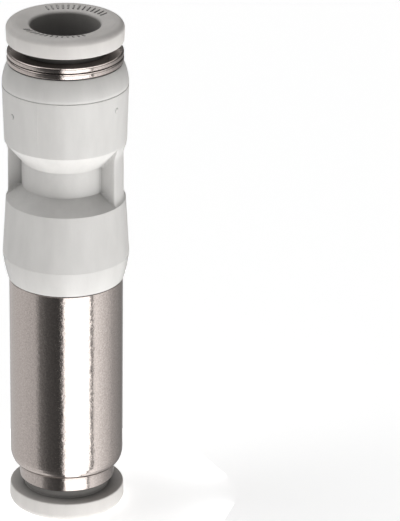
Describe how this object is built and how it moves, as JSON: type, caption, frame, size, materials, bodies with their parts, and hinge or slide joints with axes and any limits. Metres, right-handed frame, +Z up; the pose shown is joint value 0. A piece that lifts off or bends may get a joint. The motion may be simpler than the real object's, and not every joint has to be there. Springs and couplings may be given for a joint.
{
  "type": "push-in non-return valve",
  "caption": "Slim inline push-in check valve for tubes: metal body, pale plastic sleeve with two side recesses, and a release ring at each end.",
  "frame": {"origin": "centre of the foot: the flat crest of the lower release ring that the valve stands on", "axes": "+Z up along the flow axis, from the metal end to the plastic end; +X through the middle of one rib of the sleeve, so the recesses face +Y and -Y"},
  "size_m": [0.015, 0.015, 0.0613],
  "materials": {
    "nickel_plated_brass": "bright nickel plate over turned brass",
    "sleeve_plastic": "moulded, satin",
    "ring_plastic": "moulded acetal, satin",
    "support_plastic": "moulded acetal",
    "spring_steel": "stainless, drawn and pressed",
    "bare_brass": "turned",
    "nitrile_rubber": "moulded, matt"
  },
  "bodies": {
    "valve_body": {"metal_body": "nickel_plated_brass", "housing_sleeve": "sleeve_plastic", "body_seal_ring": "nitrile_rubber", "upper_cartridge": "nickel_plated_brass", "cartridge_seal_ring": "nitrile_rubber", "upper_collar": "nickel_plated_brass", "upper_support_ring": "support_plastic", "upper_tube_seal": "nitrile_rubber", "lower_collar": "nickel_plated_brass", "lower_support_ring": "support_plastic", "lower_tube_seal": "nitrile_rubber", "poppet_spring": "spring_steel", "spring_guide": "support_plastic", "retaining_clip": "spring_steel"},
    "upper_collet": {"upper_grab_ring": "spring_steel"},
    "upper_release": {"upper_release_ring": "ring_plastic"},
    "lower_collet": {"lower_grab_ring": "spring_steel"},
    "lower_release": {"lower_release_ring": "ring_plastic"},
    "poppet": {"poppet": "bare_brass", "poppet_seal": "nitrile_rubber", "poppet_rivet": "spring_steel"}
  },
  "joints": [
    {"name": "upper_collet_turn", "type": "hinge", "parent": "valve_body", "child": "upper_collet", "pos_m": [0, 0, 0.053], "axis": [0, 0, 1], "continuous": true},
    {"name": "upper_release_press", "type": "slide", "parent": "upper_collet", "child": "upper_release", "axis": [0, 0, -1], "range_m": [0, 0.00105]},
    {"name": "lower_collet_turn", "type": "hinge", "parent": "valve_body", "child": "lower_collet", "pos_m": [0, 0, 0.0083], "axis": [0, 0, 1], "continuous": true},
    {"name": "lower_release_press", "type": "slide", "parent": "lower_collet", "child": "lower_release", "axis": [0, 0, 1], "range_m": [0, 0.00105]},
    {"name": "poppet_lift", "type": "slide", "parent": "valve_body", "child": "poppet", "axis": [0, 0, 1], "range_m": [0, 0.0024], "stiffness_N_per_m": 250, "springref_m": -0.0023, "deforming": ["poppet_spring"]}
  ]
}
